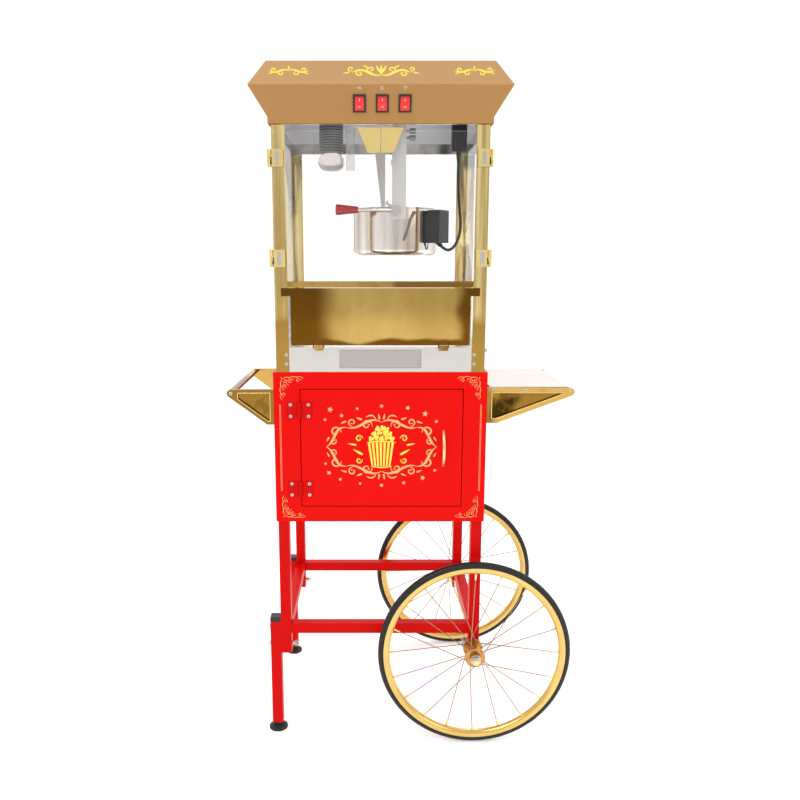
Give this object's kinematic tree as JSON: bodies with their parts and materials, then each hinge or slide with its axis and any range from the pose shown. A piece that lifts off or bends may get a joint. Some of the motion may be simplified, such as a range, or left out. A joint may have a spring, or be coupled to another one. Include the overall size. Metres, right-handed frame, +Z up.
{
  "type": "popcorn cart",
  "caption": "Popcorn cart: glazed popping cabin with a tilting kettle under a flared canopy, on a storage cabinet with a push handle, side shelf, two spoked wheels and two levelling legs.",
  "frame": {"origin": "on the floor, under the middle of the whole cart's footprint", "axes": "+Z up, the front with the doors and switches faces -Y, the wheels are on the +X side"},
  "size_m": [0.8033, 0.581, 1.563],
  "materials": {
    "red_frame_paint": "satin powder coat",
    "red_gloss_sheet": "gloss paint",
    "tan_paint": "satin paint",
    "black_plastic": "moulded",
    "black_rubber_foot": "moulded",
    "cord_rubber": "smooth",
    "tyre_rubber": "smooth tread",
    "zinc": "bright zinc",
    "gold_plate": "gold plated",
    "gold_rim": "gold anodised",
    "mirror_gold": "mirror polish",
    "cream_gold": "satin gold",
    "spoke_wire": "bright wire",
    "polished_steel": "polished",
    "stainless": "fine brushed",
    "grey_metal": "matt grey",
    "clear_glass": "clear",
    "lamp_glass": "clear moulded",
    "red_lens": "translucent red",
    "red_grip": "moulded"
  },
  "bodies": {
    "cart": {"main_legs": "red_frame_paint", "lower_rails": "red_frame_paint", "extension_legs": "red_frame_paint", "tube_plugs": "black_plastic", "leg_fasteners": "zinc", "axle": "gold_plate", "axle_hardware": "zinc", "cabinet_shell": "red_gloss_sheet", "hinge_frame_leaves": "red_gloss_sheet", "body_screws": "zinc", "side_brackets": "mirror_gold", "cross_bars": "polished_steel", "shelf_tray": "stainless", "machine_base": "stainless", "popcorn_deck": "stainless", "columns": "mirror_gold", "cabin_rails": "mirror_gold", "fixed_glass": "clear_glass", "glass_door_hinges": "gold_plate", "canopy": "tan_paint", "ceiling_pan": "stainless", "switch_bezels": "black_plastic", "lamp_housing": "grey_metal", "lamp_bulb": "lamp_glass", "gearmotor": "grey_metal", "hanger_arms": "stainless", "kettle_cord": "cord_rubber", "cord_socket": "black_plastic"},
    "front_wheel": {"front_tyre": "tyre_rubber", "front_rim": "gold_rim", "front_spokes": "spoke_wire", "front_hub": "gold_plate"},
    "rear_wheel": {"rear_tyre": "tyre_rubber", "rear_rim": "gold_rim", "rear_spokes": "spoke_wire", "rear_hub": "gold_plate"},
    "front_levelling_foot": {"foot_front": "black_rubber_foot"},
    "rear_levelling_foot": {"foot_rear": "black_rubber_foot"},
    "cabinet_door": {"cart_door": "red_gloss_sheet", "cart_door_handle": "cream_gold", "hinge_door_leaves": "red_gloss_sheet", "hinge_door_screws": "zinc"},
    "drawer": {"crumb_drawer": "stainless"},
    "drop_panel": {"serving_panel": "mirror_gold"},
    "left_door": {"left_glass_door": "clear_glass", "left_door_fittings": "gold_plate"},
    "right_door": {"right_glass_door": "clear_glass", "right_door_fittings": "gold_plate"},
    "switch_1": {"rocker_left": "red_lens"},
    "switch_2": {"rocker_middle": "red_lens"},
    "switch_3": {"rocker_right": "red_lens"},
    "drive": {"drive_shaft": "polished_steel"},
    "kettle": {"kettle_pot": "polished_steel", "kettle_bridge": "polished_steel", "kettle_handle": "polished_steel", "kettle_grip": "red_grip", "kettle_plug": "black_plastic"},
    "left_lid": {"kettle_lid_left": "polished_steel"},
    "right_lid": {"kettle_lid_right": "polished_steel"},
    "stirrer_body": {"stirrer": "polished_steel"}
  },
  "joints": [
    {"name": "front_wheel_spin", "type": "hinge", "parent": "cart", "child": "front_wheel", "pos_m": [0.17315, -0.2445, 0.2285], "axis": [0, 1, 0], "continuous": true},
    {"name": "rear_wheel_spin", "type": "hinge", "parent": "cart", "child": "rear_wheel", "pos_m": [0.17315, 0.2445, 0.2285], "axis": [0, 1, 0], "continuous": true},
    {"name": "front_foot_turn", "type": "hinge", "parent": "cart", "child": "front_levelling_foot", "pos_m": [-0.30285, -0.1898, 0.025], "axis": [0, 0, 1], "continuous": true},
    {"name": "rear_foot_turn", "type": "hinge", "parent": "cart", "child": "rear_levelling_foot", "pos_m": [-0.30285, 0.1898, 0.025], "axis": [0, 0, 1], "continuous": true},
    {"name": "cabinet_door_swing", "type": "hinge", "parent": "cart", "child": "cabinet_door", "pos_m": [-0.2354, -0.2085, 0.72], "axis": [0, 0, -1], "range_deg": [0, 110]},
    {"name": "drawer_slide", "type": "slide", "parent": "cart", "child": "drawer", "axis": [0, -1, 0], "range_m": [0, 0.2]},
    {"name": "serving_panel_drop", "type": "hinge", "parent": "cart", "child": "drop_panel", "pos_m": [-0.04715, -0.2077, 0.955], "axis": [1, 0, 0], "range_deg": [0, 80]},
    {"name": "left_glass_swing", "type": "hinge", "parent": "cart", "child": "left_door", "pos_m": [-0.29165, -0.209, 1.25], "axis": [0, 0, -1], "range_deg": [0, 105]},
    {"name": "right_glass_swing", "type": "hinge", "parent": "cart", "child": "right_door", "pos_m": [0.19135, -0.209, 1.25], "axis": [0, 0, 1], "range_deg": [0, 105]},
    {"name": "heat_switch_rock", "type": "hinge", "parent": "cart", "child": "switch_1", "pos_m": [-0.09535, -0.2244, 1.47331], "axis": [1, 0, 0], "range_deg": [0, 20]},
    {"name": "motor_switch_rock", "type": "hinge", "parent": "cart", "child": "switch_2", "pos_m": [-0.04715, -0.2244, 1.47331], "axis": [1, 0, 0], "range_deg": [0, 20]},
    {"name": "light_switch_rock", "type": "hinge", "parent": "cart", "child": "switch_3", "pos_m": [0.00105, -0.2244, 1.47331], "axis": [1, 0, 0], "range_deg": [0, 20]},
    {"name": "drive_spin", "type": "hinge", "parent": "cart", "child": "drive", "pos_m": [-0.01515, -0.0345, 1.4], "axis": [0, 0, 1], "continuous": true},
    {"name": "kettle_tilt", "type": "hinge", "parent": "cart", "child": "kettle", "pos_m": [-0.01515, -0.0345, 1.258], "axis": [0, -1, 0], "range_deg": [0, 95], "deforming": ["kettle_cord"]},
    {"name": "left_lid_open", "type": "hinge", "parent": "kettle", "child": "left_lid", "pos_m": [-0.02665, -0.0345, 1.2705], "axis": [0, 1, 0], "range_deg": [0, 80]},
    {"name": "right_lid_open", "type": "hinge", "parent": "kettle", "child": "right_lid", "pos_m": [-0.00365, -0.0345, 1.2705], "axis": [0, -1, 0], "range_deg": [0, 80]},
    {"name": "stirrer_spin", "type": "hinge", "parent": "kettle", "child": "stirrer_body", "pos_m": [-0.01515, -0.0345, 1.2], "axis": [0, 0, 1], "continuous": true}
  ],
  "couplings": [
    {"joint": "drive_spin", "follows": "stirrer_spin", "ratio": 1}
  ]
}
